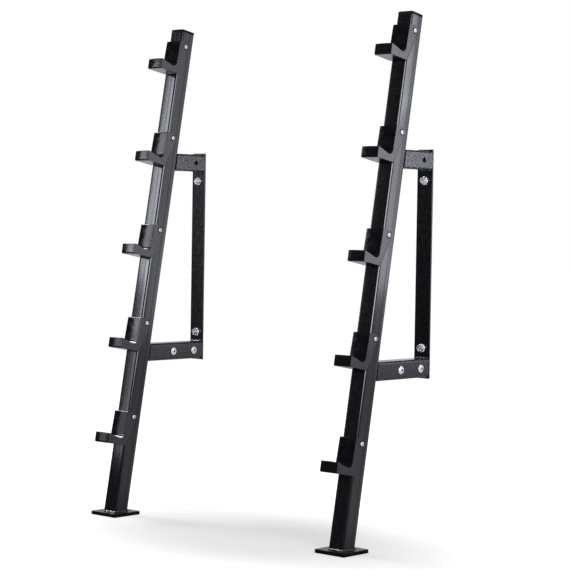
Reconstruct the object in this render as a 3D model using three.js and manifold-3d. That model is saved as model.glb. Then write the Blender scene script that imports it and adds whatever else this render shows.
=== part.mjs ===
// Barbell storage rack: two leaning uprights with moulded J hooks, each held to the wall by a bracket of two arms.
// Millimetres, +Z up. The floor is z = 0 and the wall is the plane y = 0, with the rack in front of it at -Y.
// The origin lies where floor and wall meet, midway between the uprights. Each piece is one named mesh.
import * as THREE from "three";
import { mergeVertices } from "three/addons/utils/BufferGeometryUtils.js";
import Module from "manifold-3d";

const wasm = await Module();
wasm.setup();

// Fits shared by all pieces
const seatGap = 0.3; // between a piece and what it is welded, bolted or pressed to
const threadGap = 0.15; // round a shank in its nut
const cutOverrun = 20; // how far a cutter stands out of what it cuts

// The pair of uprights
const uprightSpacing = 1015; // centre to centre
const leanAngle = THREE.MathUtils.degToRad(10);
const wallReach = 380; // from the tube's axis at its foot to the front of the wall plate

// Upright tube
const tubeWidth = 60;
const tubeWall = 3;
const tubeCorner = 7.5; // outer corner radius
const tubeLength = 1680; // along the axis, from the base plate to the square-cut top

// Base plate
const baseWidth = 118;
const baseThickness = 12;
const baseCorner = 3;
const baseEdge = 1.2; // rounding of its long edges

// End cap
const capFlange = 4;
const capEdge = 1.2;
const plugDepth = 22;
const plugWall = 2.5;

// Hooks: places along the tube are measured at the bolt
const hooksPerUpright = 5;
const lowestHook = 325; // from the foot, along the tube
const topHookDrop = 55; // from the tube's top down to the highest hook's bolt
const boltSetback = 21; // from the tube's front face back to the hook bolts

// Hook moulding, measured from its bolt and from the tube's front face
const cheekThickness = 3.4;
const bossRadius = 16; // the cheek's round end about the bolt
const hookDrop = 100; // from the bolt down to the underside
const legThicknessTop = 8.5;
const legThicknessFoot = 12;
const lipReach = 82; // from the tube's front face to the front of the lip
const lipHeight = 36; // from the underside up to the lip's front edge
const rampAngle = THREE.MathUtils.degToRad(14); // from the lip down to the trough
const troughRadius = 15; // a bar of 28 to 30 mm rests in it
const heelOverlap = 3; // how far the cheek's heel reaches back past the tube's front face
const mouldCorner = 4;
const lipFrontCorner = 2.5;
const lipFootCorner = 6;
const mouldEdge = 1.1; // rounding of the outline on both cheeks

// Hook bolt and its lock nut
const hookBoltRadius = 4;
const hookHeadRadius = 7;
const hookHeadHeight = 4.4;
const hookSocketFlats = 5;
const hookSocketDepth = 2.6;
const hookNutFlats = 13;
const hookNutHeight = 6.5;
const hookNutCollarRadius = 5.6;
const hookNutCollarHeight = 1.6;
const hookBoltEnd = 1.5; // how far the thread shows past the nut

// Arms
const armWidth = 60;
const armWall = 3;
const armCorner = 7.5;
const lowerArmHeight = 551; // centre line above the floor
const upperArmHeight = 1212;
const armHoleInset = 42; // from the wall plate's front to the rear cross hole
const armHolePitch = 100; // to the lower arm's second hole
const armHoleClearance = 1.3; // round the bolt, in radius
const openHoleClearance = 3; // the same in the upper arm, whose hole stays open

// Inserts inside the arms, welded to the back of the upright tube
const insertClearance = 0.5; // to the arm, each side
const insertWall = 3;
const insertCorner = 4;
const insertPastHole = 26; // how far the insert runs past the rear cross hole
const weldNutFlats = 19;
const weldNutHeight = 10;
const weldNutSink = 1; // how far a weld nut is fused into the insert's wall

// Arm bolts
const armBoltRadius = 6;
const armBoltLength = 20; // under the head
const armHeadRadius = 10;
const armHeadHeight = 5.4;
const armCollarRadius = 12.6;
const armCollarHeight = 1.6;
const armSocketFlats = 8;
const armSocketDepth = 3.6;

// Wall plate, its bolts and washers
const wallPlateWidth = 60;
const wallPlateThickness = 6;
const wallPlateCorner = 2;
const wallPlateOverhang = 5; // past the arms, above and below
const upperWallBoltDrop = 34; // from the underside of the upper arm
const lowerWallBoltRise = 32; // from the top of the lower arm
const wallBoltRadius = 7;
const wallHoleClearance = 1;
const wallBoltFlats = 21;
const wallHeadHeight = 8.8;
const wallBoltBehind = 26; // shank that stands out behind the plate
const washerRadius = 14;
const washerThickness = 2.5;
const washerClearance = 0.6; // round the bolt, in radius

// Screws and nuts of every size
const socketRim = 0.8; // flat ring between a socket's corners and the head's dome
const hexChamferShare = 0.98; // of the flats, where the corners of a hex are turned away

// Counts of flat sides on round forms
const cornerSteps = 3;
const shankSides = 12;
const headSides = 18;
const arcStep = THREE.MathUtils.degToRad(22);
const mergeTolerance = 1e-4;

// Worked out from the sizes above
const hookWidth = tubeWidth + 2 * (seatGap + cheekThickness);
const hookPitch = (tubeLength - topHookDrop - lowestHook) / (hooksPerUpright - 1);
const tubeFront = -tubeWidth / 2;
const boltDepth = tubeFront + boltSetback;
const armEnd = wallReach - seatGap;
const rearHole = wallReach - armHoleInset;
const frontHole = rearHole - armHolePitch;
const insertWidth = armWidth - 2 * (armWall + insertClearance);
const upperWallBolt = upperArmHeight - armWidth / 2 - upperWallBoltDrop;
const lowerWallBolt = lowerArmHeight + armWidth / 2 + lowerWallBoltRise;

// The tube's own frame: z along its axis from the top of the base plate, y through its depth, x across the rack
const leanFrame = new THREE.Matrix4().makeRotationX(-leanAngle).setPosition(0, 0, baseThickness);

const axisX = new THREE.Vector3(1, 0, 0);
const axisY = new THREE.Vector3(0, 1, 0);
const axisZ = new THREE.Vector3(0, 0, 1);
// A revolve or a prism about its own Y or Z, laid along X or Y
const latheToX = new THREE.Matrix4().makeBasis(axisY.clone().negate(), axisX, axisZ);
const latheToForward = new THREE.Matrix4().makeBasis(axisX.clone().negate(), axisY.clone().negate(), axisZ);
const prismToX = new THREE.Matrix4().makeBasis(axisY, axisZ, axisX);
const prismToY = new THREE.Matrix4().makeBasis(axisZ, axisX, axisY);

const powderCoat = new THREE.MeshStandardMaterial({ color: 0x1d1d1f, roughness: 0.55, metalness: 0.35 });
const hookPlastic = new THREE.MeshStandardMaterial({ color: 0x121213, roughness: 0.35, metalness: 0 });
const capPlastic = new THREE.MeshStandardMaterial({ color: 0x0e0e0f, roughness: 0.5, metalness: 0 });
const zincPlate = new THREE.MeshStandardMaterial({ color: 0xc9ccd0, roughness: 0.28, metalness: 0.95 });

// A closed geometry as a solid that can be joined and cut
function solidOf(geometry, matrix) {
  const bare = geometry.clone();
  bare.deleteAttribute("normal");
  bare.deleteAttribute("uv");
  if (matrix) bare.applyMatrix4(matrix);
  const merged = mergeVertices(bare, mergeTolerance);
  const vertProperties = merged.attributes.position.array;
  const triVerts = new Uint32Array(merged.index.array);
  return new wasm.Manifold(new wasm.Mesh({ numProp: 3, vertProperties, triVerts }));
}

function geometryOf(solid) {
  const mesh = solid.getMesh();
  const geometry = new THREE.BufferGeometry();
  geometry.setAttribute("position", new THREE.BufferAttribute(mesh.vertProperties.slice(), mesh.numProp));
  geometry.setIndex(new THREE.BufferAttribute(mesh.triVerts.slice(), 1));
  const faceted = geometry.toNonIndexed();
  faceted.computeVertexNormals();
  return faceted;
}

function named(name, solid, material) {
  const mesh = new THREE.Mesh(geometryOf(solid), material);
  mesh.name = name;
  return mesh;
}

function moved(solid, matrix) {
  return solidOf(geometryOf(solid), matrix);
}

function shifted(x, y, z) {
  return new THREE.Matrix4().makeTranslation(x, y, z);
}

// A square with rounded corners, as points in order
function roundedSquare(width, height, radius) {
  const points = [];
  const centres = [
    [width / 2 - radius, height / 2 - radius],
    [radius - width / 2, height / 2 - radius],
    [radius - width / 2, radius - height / 2],
    [width / 2 - radius, radius - height / 2],
  ];
  centres.forEach(([x, y], corner) => {
    for (let step = 0; step <= cornerSteps; step++) {
      const angle = (corner + step / cornerSteps) * (Math.PI / 2);
      points.push(new THREE.Vector2(x + radius * Math.cos(angle), y + radius * Math.sin(angle)));
    }
  });
  return points;
}

// A corner outline with each corner rounded by its own radius; corners are [x, y, radius]
function filletedOutline(corners) {
  const points = [];
  corners.forEach(([x, y, radius], i) => {
    const here = new THREE.Vector2(x, y);
    const [beforeX, beforeY] = corners[(i + corners.length - 1) % corners.length];
    const [afterX, afterY] = corners[(i + 1) % corners.length];
    const toBefore = new THREE.Vector2(beforeX, beforeY).sub(here).normalize();
    const toAfter = new THREE.Vector2(afterX, afterY).sub(here).normalize();
    const halfAngle = Math.acos(toBefore.dot(toAfter)) / 2;
    const toCentre = toBefore.clone().add(toAfter).normalize();
    const centre = here.clone().addScaledVector(toCentre, radius / Math.sin(halfAngle));
    const start = here.clone().addScaledVector(toBefore, radius / Math.tan(halfAngle)).sub(centre);
    const end = here.clone().addScaledVector(toAfter, radius / Math.tan(halfAngle)).sub(centre);
    const sweep = Math.atan2(start.cross(end), start.dot(end));
    const steps = Math.max(2, Math.round(Math.abs(sweep) / arcStep));
    for (let step = 0; step <= steps; step++) {
      const spoke = start.clone().rotateAround(new THREE.Vector2(0, 0), (sweep * step) / steps);
      points.push(spoke.add(centre));
    }
  });
  return points;
}

function squareTube(width, wall, corner, length) {
  const shape = new THREE.Shape(roundedSquare(width, width, corner));
  const inner = width - 2 * wall;
  shape.holes.push(new THREE.Path(roundedSquare(inner, inner, corner - wall)));
  return new THREE.ExtrudeGeometry(shape, { depth: length, bevelEnabled: false });
}

// A flat piece with rounded long edges, its outline kept at full size
function edgedPlate(points, thickness, edge) {
  return new THREE.ExtrudeGeometry(new THREE.Shape(points), {
    depth: thickness - 2 * edge,
    bevelThickness: edge,
    bevelSize: edge,
    bevelOffset: -edge,
    bevelSegments: 1,
  }).translate(0, 0, edge);
}

function rod(radius, length, sides) {
  return new THREE.CylinderGeometry(radius, radius, length, sides);
}

function hexOutline(flats) {
  const points = [];
  for (let side = 0; side < 6; side++) {
    const angle = (side * Math.PI) / 3;
    const reach = flats / Math.sqrt(3);
    points.push(new THREE.Vector2(reach * Math.cos(angle), reach * Math.sin(angle)));
  }
  return points;
}

function hexPrism(flats, height) {
  const geometry = new THREE.ExtrudeGeometry(new THREE.Shape(hexOutline(flats)), { depth: height, bevelEnabled: false });
  return geometry.rotateX(-Math.PI / 2); // stands on y = 0
}

// A hexagon with its points turned away at the top, and at the foot where it is a nut
function chamferedHex(flats, height, bothEnds) {
  const reach = flats / Math.sqrt(3);
  const bevel = reach - (flats / 2) * hexChamferShare;
  const rise = bevel * Math.tan(Math.PI / 6);
  const profile = [
    new THREE.Vector2(0, 0),
    new THREE.Vector2(bothEnds ? reach - bevel : reach, 0),
    new THREE.Vector2(reach, bothEnds ? rise : 0),
    new THREE.Vector2(reach, height - rise),
    new THREE.Vector2(reach - bevel, height),
    new THREE.Vector2(0, height),
  ];
  const outline = profile.filter((point, i) => i === 0 || !point.equals(profile[i - 1]));
  const turned = solidOf(new THREE.LatheGeometry(outline, shankSides));
  return solidOf(hexPrism(flats, height)).intersect(turned);
}

// A socket screw about Y: its head stands on y = 0 and its shank hangs below
function socketScrew({ shank, length, head, height, collar, collarHeight, flats, depth, sides }) {
  const crown = flats / Math.sqrt(3) + socketRim;
  const base = collar ? collarHeight : 0;
  const profile = [new THREE.Vector2(0, -length), new THREE.Vector2(shank, -length), new THREE.Vector2(shank, 0)];
  if (collar) {
    profile.push(new THREE.Vector2(collar, 0), new THREE.Vector2(collar, collarHeight));
    profile.push(new THREE.Vector2(head, collarHeight));
  } else {
    profile.push(new THREE.Vector2(head, 0));
  }
  for (const turn of [Math.PI / 6, Math.PI / 3, Math.PI / 2]) {
    const radius = crown + (head - crown) * Math.cos(turn);
    profile.push(new THREE.Vector2(radius, base + (height - base) * Math.sin(turn)));
  }
  profile.push(new THREE.Vector2(0, height));
  const body = solidOf(new THREE.LatheGeometry(profile, sides));
  const socket = hexPrism(flats, depth + cutOverrun).translate(0, height - depth, 0);
  return body.subtract(solidOf(socket));
}

function basePlate() {
  const outline = roundedSquare(baseWidth, baseWidth, baseCorner);
  return solidOf(edgedPlate(outline, baseThickness, baseEdge));
}

// Half the space below a level plane, in the tube's own frame
function belowBasePlateTop() {
  const size = 2 * tubeWidth + cutOverrun;
  const block = new THREE.BoxGeometry(size, size, size);
  const intoTube = leanFrame.clone().invert();
  return solidOf(block, intoTube.multiply(shifted(0, 0, baseThickness + seatGap - size / 2)));
}

function hookBoltAt(index) {
  return lowestHook + index * hookPitch;
}

function uprightTube() {
  const start = tubeWidth * Math.tan(leanAngle) + cutOverrun;
  const blank = squareTube(tubeWidth, tubeWall, tubeCorner, tubeLength + start);
  let tube = solidOf(blank, shifted(0, 0, -start)).subtract(belowBasePlateTop());
  for (let hook = 0; hook < hooksPerUpright; hook++) {
    const drill = rod(hookBoltRadius + seatGap, tubeWidth + cutOverrun, shankSides);
    const place = shifted(0, boltDepth, hookBoltAt(hook)).multiply(latheToX);
    tube = tube.subtract(solidOf(drill, place));
  }
  return tube;
}

// The cap's flange covers the tube's end and its hollow plug fills the bore
function endCap() {
  const flange = solidOf(edgedPlate(roundedSquare(tubeWidth, tubeWidth, tubeCorner), capFlange, capEdge));
  const plugWidth = tubeWidth - 2 * (tubeWall + seatGap);
  const plug = squareTube(plugWidth, plugWall, tubeCorner - tubeWall + plugWall, plugDepth + capFlange / 2);
  return flange.add(solidOf(plug, shifted(0, 0, -plugDepth)));
}

// The hook's side outline, in the tube's depth (x) and length (y) from its bolt
function hookOutline() {
  const back = tubeFront - seatGap;
  const legTop = back - legThicknessTop;
  const legFoot = back - legThicknessFoot;
  const lipFront = tubeFront - lipReach;
  const lipTop = lipHeight - hookDrop;
  const heel = tubeFront + heelOverlap;

  // The rear edge runs from the heel to touch the boss about the bolt
  const toBolt = Math.atan2(boltDepth - heel, hookDrop);
  const spread = Math.asin(bossRadius / Math.hypot(boltDepth - heel, hookDrop));
  const rearSlope = Math.tan(toBolt + spread);
  const rearTop = heel + (hookDrop + bossRadius) * rearSlope;

  // The leg's face meets the ramp at the trough
  const legSlope = (legTop - legFoot) / (bossRadius - lipTop);
  const fall = Math.tan(rampAngle);
  const troughX = (legFoot + lipFront * fall * legSlope) / (1 + fall * legSlope);
  const troughY = lipTop - (troughX - lipFront) * fall;

  return filletedOutline([
    [legTop, bossRadius, mouldCorner],
    [rearTop, bossRadius, bossRadius],
    [heel, -hookDrop, mouldCorner],
    [lipFront, -hookDrop, lipFootCorner],
    [lipFront, lipTop, lipFrontCorner],
    [troughX, troughY, troughRadius],
  ].reverse());
}

// One moulding: a solid leg, ramp and lip in front of the tube, with two cheeks that straddle it
function hook() {
  const body = edgedPlate(hookOutline(), hookWidth, mouldEdge).translate(0, 0, -hookWidth / 2);
  const channelHeight = hookDrop + bossRadius + cutOverrun;
  const channelDepth = tubeWidth + cutOverrun;
  const channel = new THREE.BoxGeometry(tubeWidth + 2 * seatGap, channelDepth, 2 * channelHeight);
  const bore = rod(hookBoltRadius + seatGap, hookWidth + cutOverrun, shankSides);
  return solidOf(body, prismToX)
    .subtract(solidOf(channel, shifted(0, tubeFront - seatGap + channelDepth / 2, 0)))
    .subtract(solidOf(bore, shifted(0, boltDepth, 0).multiply(latheToX)));
}

function hookBolt() {
  const length = hookWidth + 2 * seatGap + hookNutHeight + hookNutCollarHeight + hookBoltEnd;
  const screw = socketScrew({
    shank: hookBoltRadius,
    length,
    head: hookHeadRadius,
    height: hookHeadHeight,
    flats: hookSocketFlats,
    depth: hookSocketDepth,
    sides: shankSides,
  });
  return moved(screw, latheToX);
}

function hookNut() {
  const hex = chamferedHex(hookNutFlats, hookNutHeight, true);
  const collar = rod(hookNutCollarRadius, hookNutCollarHeight + hookNutHeight / 2, shankSides);
  const collarMiddle = hookNutHeight + hookNutCollarHeight - (hookNutCollarHeight + hookNutHeight / 2) / 2;
  const bore = rod(hookBoltRadius + threadGap, 2 * (hookNutHeight + cutOverrun), shankSides);
  const nut = hex.add(solidOf(collar, shifted(0, collarMiddle, 0))).subtract(solidOf(bore));
  return moved(nut, new THREE.Matrix4().makeRotationZ(Math.PI).multiply(latheToX));
}

// Everything in front of the upright tube's rear face, cut off along the lean
function frontOfTubeRear() {
  const size = tubeLength + 2 * cutOverrun;
  const block = new THREE.BoxGeometry(size, size, size);
  const rear = tubeWidth / 2 + seatGap;
  return solidOf(block, leanFrame.clone().multiply(shifted(0, rear - size / 2, size / 2 - cutOverrun)));
}

function crossDrill(radius, y, z, fromX) {
  const length = armWidth / 2 + cutOverrun - fromX;
  return solidOf(rod(radius, length, headSides), shifted(fromX + length / 2, y, z).multiply(latheToX));
}

// A level square tube between the leaning upright and a vertical plane
function levelTube(width, wall, corner, height, end) {
  const blank = squareTube(width, wall, corner, end);
  return solidOf(blank, shifted(0, 0, height).multiply(prismToY)).subtract(frontOfTubeRear());
}

function arm(height, holes, clearance) {
  let tube = levelTube(armWidth, armWall, armCorner, height, armEnd);
  for (const y of holes) tube = tube.subtract(crossDrill(armBoltRadius + clearance, y, height, 0));
  return tube;
}

// The insert carries a weld nut behind each hole, inside its near wall
function armInsert(height, holes) {
  let insert = levelTube(insertWidth, insertWall, insertCorner, height, rearHole + insertPastHole);
  const nutBack = insertWidth / 2 - insertWall - weldNutHeight;
  for (const y of holes) {
    const nut = hexPrism(weldNutFlats, weldNutHeight + weldNutSink);
    const place = shifted(nutBack, y, height).multiply(latheToX);
    insert = insert.add(solidOf(nut, place));
    insert = insert.subtract(crossDrill(armBoltRadius + threadGap, y, height, 0));
  }
  return insert;
}

function armBolt() {
  const screw = socketScrew({
    shank: armBoltRadius,
    length: armBoltLength,
    head: armHeadRadius,
    height: armHeadHeight,
    collar: armCollarRadius,
    collarHeight: armCollarHeight,
    flats: armSocketFlats,
    depth: armSocketDepth,
    sides: headSides,
  });
  return moved(screw, latheToX);
}

function wallPlate() {
  const top = upperArmHeight + armWidth / 2 + wallPlateOverhang;
  const foot = lowerArmHeight - armWidth / 2 - wallPlateOverhang;
  const shape = new THREE.Shape(roundedSquare(top - foot, wallPlateWidth, wallPlateCorner));
  const blank = new THREE.ExtrudeGeometry(shape, { depth: wallPlateThickness, bevelEnabled: false });
  let plate = solidOf(blank, shifted(0, wallReach, (top + foot) / 2).multiply(prismToY));
  for (const z of [upperWallBolt, lowerWallBolt]) {
    const drill = rod(wallBoltRadius + wallHoleClearance, wallPlateThickness + 2 * cutOverrun, headSides);
    plate = plate.subtract(solidOf(drill, shifted(0, wallReach, z)));
  }
  return plate;
}

// Head to the front, shank back through washer and plate
function wallBolt() {
  const length = 2 * seatGap + washerThickness + wallPlateThickness + wallBoltBehind;
  const sink = wallHeadHeight / 2;
  const shank = rod(wallBoltRadius, length + sink, shankSides);
  const head = chamferedHex(wallBoltFlats, wallHeadHeight, false);
  const bolt = head.add(solidOf(shank, shifted(0, (sink - length) / 2, 0)));
  return moved(bolt, latheToForward);
}

function wallWasher() {
  const profile = [
    new THREE.Vector2(wallBoltRadius + washerClearance, 0),
    new THREE.Vector2(washerRadius, 0),
    new THREE.Vector2(washerRadius, washerThickness),
    new THREE.Vector2(wallBoltRadius + washerClearance, washerThickness),
    new THREE.Vector2(wallBoltRadius + washerClearance, 0),
  ];
  return solidOf(new THREE.LatheGeometry(profile, headSides), latheToForward);
}

// What stands square to the leaning tube
function leaningPieces(side) {
  const group = new THREE.Group();
  group.applyMatrix4(leanFrame);
  group.add(named(side + "_upright_tube", uprightTube(), powderCoat));

  const cap = named(side + "_end_cap", endCap(), capPlastic);
  cap.position.z = tubeLength + seatGap;
  group.add(cap);

  for (let i = 0; i < hooksPerUpright; i++) {
    const number = i + 1;
    const station = new THREE.Group();
    station.position.z = hookBoltAt(i);
    station.add(named(side + "_hook_" + number, hook(), hookPlastic));

    const bolt = named(side + "_hook_bolt_" + number, hookBolt(), zincPlate);
    bolt.position.set(hookWidth / 2 + seatGap, boltDepth, 0);
    const nut = named(side + "_hook_nut_" + number, hookNut(), zincPlate);
    nut.position.set(-hookWidth / 2 - seatGap, boltDepth, 0);
    station.add(bolt, nut);
    group.add(station);
  }
  return group;
}

// What stands square to the floor and the wall
function bracketPieces(side) {
  const group = new THREE.Group();
  group.add(named(side + "_base_plate", basePlate(), powderCoat));
  group.add(named(side + "_lower_arm", arm(lowerArmHeight, [frontHole, rearHole], armHoleClearance), powderCoat));
  group.add(named(side + "_upper_arm", arm(upperArmHeight, [rearHole], openHoleClearance), powderCoat));
  group.add(named(side + "_lower_arm_insert", armInsert(lowerArmHeight, [frontHole, rearHole]), powderCoat));
  group.add(named(side + "_upper_arm_insert", armInsert(upperArmHeight, [rearHole]), powderCoat));
  group.add(named(side + "_wall_plate", wallPlate(), powderCoat));

  for (const [place, y] of [["front", frontHole], ["rear", rearHole]]) {
    const bolt = named(side + "_arm_bolt_" + place, armBolt(), zincPlate);
    bolt.position.set(armWidth / 2 + seatGap, y, lowerArmHeight);
    group.add(bolt);
  }
  for (const [place, z] of [["upper", upperWallBolt], ["lower", lowerWallBolt]]) {
    const washer = named(side + "_wall_washer_" + place, wallWasher(), zincPlate);
    washer.position.set(0, wallReach - seatGap, z);
    const bolt = named(side + "_wall_bolt_" + place, wallBolt(), zincPlate);
    bolt.position.set(0, wallReach - washerThickness - 2 * seatGap, z);
    group.add(washer, bolt);
  }
  return group;
}

const rack = new THREE.Group();
for (const [side, x] of [["right", uprightSpacing / 2], ["left", -uprightSpacing / 2]]) {
  const upright = new THREE.Group();
  upright.position.set(x, -wallReach - wallPlateThickness, 0);
  upright.add(leaningPieces(side), bracketPieces(side));
  rack.add(upright);
}

export default rack;
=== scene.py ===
# Barbell storage rack: two leaning uprights with moulded J hooks, each tied to the wall by a welded bracket.
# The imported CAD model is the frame. The sections follow the rack as it is put together, from the floor up.
# Sizes are written in millimetres times mm. Each upright stands in its own frame, z = 0 on the floor and
# y = 0 at the middle of its base plate, and is then put in its place along the wall.
import math

import bmesh
import bpy
from mathutils import Matrix, Vector


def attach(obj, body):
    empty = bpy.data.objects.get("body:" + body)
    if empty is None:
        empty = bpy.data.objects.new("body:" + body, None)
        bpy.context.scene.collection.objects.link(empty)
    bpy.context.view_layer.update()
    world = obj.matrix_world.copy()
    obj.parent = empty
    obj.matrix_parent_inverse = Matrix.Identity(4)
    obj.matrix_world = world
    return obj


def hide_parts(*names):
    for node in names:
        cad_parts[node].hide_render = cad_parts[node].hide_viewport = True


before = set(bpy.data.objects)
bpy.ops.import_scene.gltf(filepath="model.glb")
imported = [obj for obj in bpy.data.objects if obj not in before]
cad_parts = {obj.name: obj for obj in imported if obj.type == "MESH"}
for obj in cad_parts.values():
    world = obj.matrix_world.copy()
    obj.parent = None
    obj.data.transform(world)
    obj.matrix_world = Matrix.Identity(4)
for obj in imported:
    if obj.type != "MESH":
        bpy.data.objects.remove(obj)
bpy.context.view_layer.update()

# Base plates: 12 mm flat steel, 118 mm square, the foot of each upright on the floor.
# Sawn from flat bar, the edges broken by hand before the powder coat went on.
mm = 0.001
uprights_apart = 1015 * mm
wall_behind = 386 * mm
upright_places = {
    "right": Matrix.Translation((uprights_apart / 2, -wall_behind, 0)),
    "left": Matrix.Translation((-uprights_apart / 2, -wall_behind, 0)),
}
plate_width = 118 * mm
plate_thickness = 12 * mm
plate_corner = 3 * mm
plate_edge = 1.0 * mm
flats_weight = 100
cloud_detail = {"Grain": 2.0, "Mottle": 4.0}
cloud_roughness = 0.6
grain_in_speckle = 0.6
speckle_range = (0.36, 0.64)
fleck_range = (0.50, 0.64)
gloss_range = (0.3, 0.7)
metal_dust = (0.30, 0.31, 0.33)
coat_black = (0.002, 0.002, 0.0023)
coat_light = (0.007, 0.007, 0.0076)


def rounded_square(width, height, radius, steps=6):
    """The outline of a square or a strip with round corners, as (across, along) points."""
    points = []
    for corner in range(4):
        turn = corner * math.pi / 2
        middle = Matrix.Rotation(turn, 2) @ Vector((1, 1))
        centre_x = middle.x * (width / 2 - radius)
        centre_y = middle.y * (height / 2 - radius)
        for step in range(steps + 1):
            angle = turn + step / steps * math.pi / 2
            points.append((centre_x + radius * math.cos(angle), centre_y + radius * math.sin(angle)))
    return points


def loft(name, rings, closed=False):
    """A closed skin over rings of points, capped at both ends or joined end to end."""
    shape = bmesh.new()
    loops = [[shape.verts.new(point) for point in ring] for ring in rings]
    pairs = list(zip(loops, loops[1:]))
    if closed:
        pairs.append((loops[-1], loops[0]))
    else:
        shape.faces.new(loops[0])
        shape.faces.new(loops[-1])
    for near, far in pairs:
        for i in range(len(near)):
            j = (i + 1) % len(near)
            shape.faces.new((near[i], near[j], far[j], far[i]))
    bmesh.ops.recalc_face_normals(shape, faces=shape.faces)
    mesh = bpy.data.meshes.new(name)
    shape.to_mesh(mesh)
    shape.free()
    return mesh


def break_edges(mesh, radius, steps=2, sharper_than=math.radians(42)):
    """Rounds every sharp edge of a mesh."""
    shape = bmesh.new()
    shape.from_mesh(mesh)
    sharp = [e for e in shape.edges if len(e.link_faces) == 2 and e.calc_face_angle() > sharper_than]
    bmesh.ops.bevel(
        shape,
        geom=sharp,
        offset=radius,
        segments=steps,
        profile=0.5,
        affect="EDGES",
        clamp_overlap=True,
    )
    bmesh.ops.recalc_face_normals(shape, faces=shape.faces)
    shape.to_mesh(mesh)
    shape.free()


def fit_piece(name, mesh, place, slot, *nodes):
    """Sets a finished mesh in its place on the rack, in front of the CAD nodes that it stands for."""
    piece = bpy.data.objects.new(name, mesh)
    bpy.context.scene.collection.objects.link(piece)
    for polygon in mesh.polygons:
        polygon.use_smooth = True
    piece.modifiers.new("Even faces", "WEIGHTED_NORMAL").weight = flats_weight
    piece.matrix_world = place
    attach(piece, "root")
    if nodes:
        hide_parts(*nodes)


def feed(tree, node, inputs):
    """Gives each of a node's inputs a plain value, or joins it to another node's output."""
    for name, value in inputs.items():
        if isinstance(value, bpy.types.NodeSocket):
            tree.links.new(value, node.inputs[name])
        else:
            node.inputs[name].default_value = value


def add_node(tree, kind, inputs, **settings):
    """Adds a node with its settings, and feeds its inputs."""
    node = tree.nodes.new(kind)
    for name, setting in settings.items():
        setattr(node, name, setting)
    feed(tree, node, inputs)
    return node


def worked_out(tree, operation, *terms, clamp=False):
    """One step of arithmetic between outputs and plain numbers."""
    step = add_node(tree, "ShaderNodeMath", dict(enumerate(terms)), operation=operation, use_clamp=clamp)
    return step.outputs[0]


def ranged(tree, value, low, high, to_low=0.0, to_high=1.0, easing="LINEAR"):
    """A value moved from one range to another, and held at the ends."""
    limits = {"Value": value, "From Min": low, "From Max": high, "To Min": to_low, "To Max": to_high}
    return add_node(tree, "ShaderNodeMapRange", limits, interpolation_type=easing).outputs["Result"]


def tinted(tree, value, limits, colours):
    """A colour between two others, by where a value lies between its limits."""
    ramp = add_node(tree, "ShaderNodeValToRGB", {"Fac": value})
    for stop, limit, colour in zip(ramp.color_ramp.elements, limits, colours):
        stop.position = limit
        stop.color = (*colour, 1)
    return ramp.outputs["Color"]


def cloud(tree, place, size, detail, roughness):
    """Noise over the surface. Its size is in metres."""
    per_metre = worked_out(tree, "DIVIDE", 1, size)
    look = {"Vector": place, "Scale": per_metre, "Detail": detail, "Roughness": roughness}
    return add_node(tree, "ShaderNodeTexNoise", look).outputs["Fac"]


def number_group(name, inputs, outputs):
    """A node group whose inputs and outputs are named numbers."""
    group = bpy.data.node_groups.new(name, "ShaderNodeTree")
    for socket in inputs:
        group.interface.new_socket(socket, in_out="INPUT", socket_type="NodeSocketFloat")
    for socket in outputs:
        group.interface.new_socket(socket, in_out="OUTPUT", socket_type="NodeSocketFloat")
    return group, group.nodes.new("NodeGroupInput"), group.nodes.new("NodeGroupOutput")


def sanded_grain_group():
    """Fine grain and slow mottle in the object's own space. Sizes are in metres."""
    group, start, end = number_group("Sanded grain", ("Grain size", "Mottle size"), ("Grain", "Mottle"))
    place = group.nodes.new("ShaderNodeTexCoord").outputs["Object"]
    for name, detail in cloud_detail.items():
        size = start.outputs[name + " size"]
        feed(group, end, {name: cloud(group, place, size, detail, cloud_roughness)})
    return group


sanded_grain = sanded_grain_group()


def grained_surface(name, grain_size, mottle_size, relief):
    """A new material whose relief is the sanded grain. Its tree, shader and grain node come with it."""
    material = bpy.data.materials.new(name)
    material.use_nodes = True
    tree = material.node_tree
    shader = tree.nodes["Principled BSDF"]
    sizes = {"Grain size": grain_size, "Mottle size": mottle_size}
    grain = add_node(tree, "ShaderNodeGroup", sizes, node_tree=sanded_grain)
    bump = add_node(tree, "ShaderNodeBump", {"Distance": relief, "Height": grain.outputs["Grain"]})
    feed(tree, shader, {"Normal": bump.outputs["Normal"]})
    return material, tree, shader, grain


def grained_finish(name, dark, light, smooth, rough, grain_size, mottle_size, relief, shine=0.5, flecks=0.0):
    """A coated or moulded surface: colour and gloss drift with the mottle, the grain is its relief.
    A coat with flecks has a little metal dust in it."""
    material, tree, shader, grain = grained_surface(name, grain_size, mottle_size, relief)
    fine, slow = grain.outputs["Grain"], grain.outputs["Mottle"]
    speckle = add_node(tree, "ShaderNodeMix", {"Factor": grain_in_speckle, "A": slow, "B": fine})
    colour = tinted(tree, speckle.outputs[0], speckle_range, (dark, light))
    if flecks:
        metal = ranged(tree, fine, *fleck_range, to_high=flecks)
        mixture = {"Factor": metal, "A": colour, "B": (*metal_dust, 1)}
        colour = add_node(tree, "ShaderNodeMix", mixture, data_type="RGBA").outputs["Result"]
        feed(tree, shader, {"Metallic": metal})
    gloss = ranged(tree, slow, *gloss_range, smooth, rough)
    feed(tree, shader, {"Base Color": colour, "Roughness": gloss, "Specular IOR Level": shine})
    return material


powder_coat = grained_finish(
    "Black powder coat",
    dark=coat_black,
    light=coat_light,
    smooth=0.16,
    rough=0.24,
    grain_size=2.2 * mm,
    mottle_size=14 * mm,
    relief=0.012 * mm,
    shine=0.8,
)

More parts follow.
